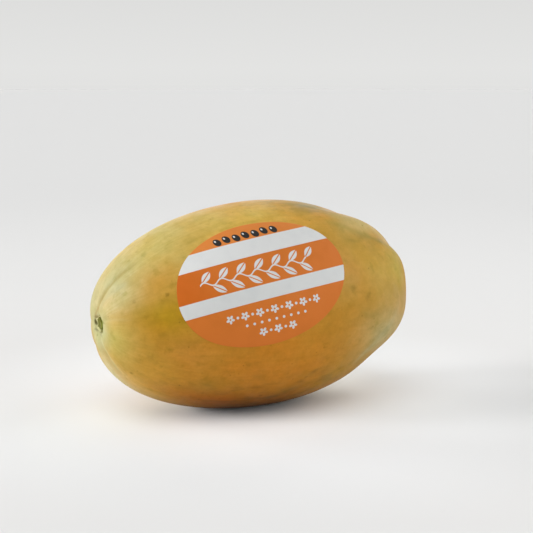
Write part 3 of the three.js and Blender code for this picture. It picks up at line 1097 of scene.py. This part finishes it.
def sticker_material():
    nodes = Nodes("sticker_paper")
    sheet = nodes.attribute("sheet")
    along, across, _ = nodes.split(sheet)
    level = nodes.math("SUBTRACT", across, nodes.product(along, BAND_SLOPE))
    grain = nodes.noise(sheet, GRAIN, PAPER_DETAIL)
    cloud = nodes.noise(sheet, CLOUD, PAPER_DETAIL)
    colour = printed(nodes, along, level)
    colour = nodes.tint(nodes.smooth(grain, *GRAIN_RANGE), colour, GRAIN_TINT)
    colour = nodes.tint(nodes.smooth(cloud, *CLOUD_RANGE), colour, CLOUD_TINT)
    height = nodes.total(
        nodes.product(nodes.noise(sheet, WAVE, 1.0), WAVE_HEIGHT * MM),
        nodes.product(grain, GRAIN_HEIGHT * MM),
    )
    return nodes.finish(colour, nodes.smooth(cloud, *PAPER_ROUGHNESS), PAPER_SPECULAR, height)


# The stage: a wide round floor with painted light on it, lighter and a little blue close round the
# fruit, which lifts its shadow and cancels the warm light thrown from the skin, and darker far
# away. Sizes are in metres, and each range is where a tone starts to turn into the next and where
# it has.
FLOOR_RADIUS = 12.0
FLOOR_RINGS = (0.1, 0.3, 0.8, 2.0, 5.0, FLOOR_RADIUS)
FLOOR_SIDES = 96
FLOOR_NEAR_LIT = (0.865, 0.893, 0.912)
FLOOR_AROUND = (0.690, 0.688, 0.683)
FLOOR_FAR_SHADE = (0.628, 0.628, 0.625)
NEAR_TO_AROUND = (0.03, 0.26)
AROUND_TO_FAR = (0.2, 1.4)


def floor_material():
    nodes = Nodes("studio_paper")
    out = nodes.length(nodes.place())
    # Painted light: lighter near the fruit and darker far away.
    colour = nodes.mix(nodes.smooth(out, *NEAR_TO_AROUND), FLOOR_NEAR_LIT, FLOOR_AROUND)
    colour = nodes.mix(nodes.smooth(out, *AROUND_TO_FAR), colour, FLOOR_FAR_SHADE)
    return nodes.finish(colour, 1.0, 0.0)


def make_floor():
    angle = 2 * math.pi * np.arange(FLOOR_SIDES) / FLOOR_SIDES
    circle = np.stack([np.cos(angle), np.sin(angle), np.zeros(FLOOR_SIDES)], axis=-1)
    rings = np.array(FLOOR_RINGS)[:, None, None] * circle
    vertices = [(0.0, 0.0, 0.0), *rings.reshape(-1, 3).tolist()]
    faces = []
    for side in range(FLOOR_SIDES):
        after = (side + 1) % FLOOR_SIDES
        faces.append((0, 1 + side, 1 + after))
        for ring in range(len(FLOOR_RINGS) - 1):
            near = 1 + ring * FLOOR_SIDES
            far = near + FLOOR_SIDES
            faces.append((near + side, far + side, far + after, near + after))
    mesh = bpy.data.meshes.new("studio_floor")
    mesh.from_pydata(vertices, [], faces)
    mesh.materials.append(floor_material())
    floor = bpy.data.objects.new("studio_floor", mesh)
    bpy.context.scene.collection.objects.link(floor)


def toward(azimuth, elevation):
    """The direction from the fruit to a camera or lamp: azimuth 0 is -Y, and 90 is +X."""
    azimuth, elevation = math.radians(azimuth), math.radians(elevation)
    return Vector((
        math.sin(azimuth) * math.cos(elevation),
        -math.cos(azimuth) * math.cos(elevation),
        math.sin(elevation),
    ))


# Large soft lamps far away: name, azimuth, elevation and width in degrees, and power.
LAMPS = (
    ("key", -112, 14, 16, 1.45),
    ("side", -105, 12, 24, 1.0),
    ("rim", -140, 14, 24, 1.35),
    ("front", -50, 58, 50, 1.08),
    ("fill", 60, 16, 90, 2.0),
    ("back", 150, 18, 60, 1.45),
)


def make_lamps():
    for name, azimuth, elevation, width, power in LAMPS:
        lamp = bpy.data.lights.new(name, "SUN")
        lamp.angle = math.radians(width)
        lamp.energy = power
        holder = bpy.data.objects.new(name, lamp)
        holder.rotation_mode = "QUATERNION"
        holder.rotation_quaternion = toward(azimuth, elevation).to_track_quat("Z", "Y")
        bpy.context.scene.collection.objects.link(holder)


# The air of the studio, level with the eye, and overhead and below.
AIR_LEVEL = (0.772, 0.772, 0.762)
AIR_OVERHEAD = (0.02, 0.02, 0.02)


def make_air():
    """Light from all round, which fades towards straight up and straight down."""
    world = bpy.data.worlds.new("studio_air")
    world.use_nodes = True
    tree = world.node_tree
    place = tree.nodes.new("ShaderNodeTexCoord")
    height = tree.nodes.new("ShaderNodeSeparateXYZ")
    part = tree.nodes.new("ShaderNodeMath")
    part.operation = "ABSOLUTE"
    blend = tree.nodes.new("ShaderNodeMix")
    blend.data_type = "RGBA"
    for socket, colour in zip(MIX_COLOURS, (AIR_LEVEL, AIR_OVERHEAD)):
        blend.inputs[socket].default_value = (*colour, 1.0)
    tree.links.new(place.outputs["Generated"], height.inputs[0])
    tree.links.new(height.outputs[2], part.inputs[0])
    tree.links.new(part.outputs[0], blend.inputs[0])
    tree.links.new(blend.outputs[MIX_RESULT], tree.nodes["Background"].inputs["Color"])
    bpy.context.scene.world = world


def make_camera():
    back = toward(CAMERA_AZIMUTH, CAMERA_ELEVATION)
    camera = bpy.data.objects.new("camera", bpy.data.cameras.new("camera"))
    camera.data.angle = math.radians(CAMERA_FIELD)
    camera.data.clip_start = CAMERA_CLIP
    camera.location = Vector(CAMERA_AIM) + back * CAMERA_DISTANCE
    camera.rotation_mode = "QUATERNION"
    camera.rotation_quaternion = back.to_track_quat("Z", "Y")
    bpy.context.scene.collection.objects.link(camera)
    bpy.context.scene.camera = camera


skin, shift = make_skin()
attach(skin, "root")
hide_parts("fruit")
skin.data.materials.append(skin_material())

sticker = make_sticker(shift)
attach(sticker, "root")
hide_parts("sticker")
sticker.data.materials.append(sticker_material())

make_floor()
make_camera()
make_lamps()
make_air()
bpy.context.scene.view_settings.view_transform = "Standard"
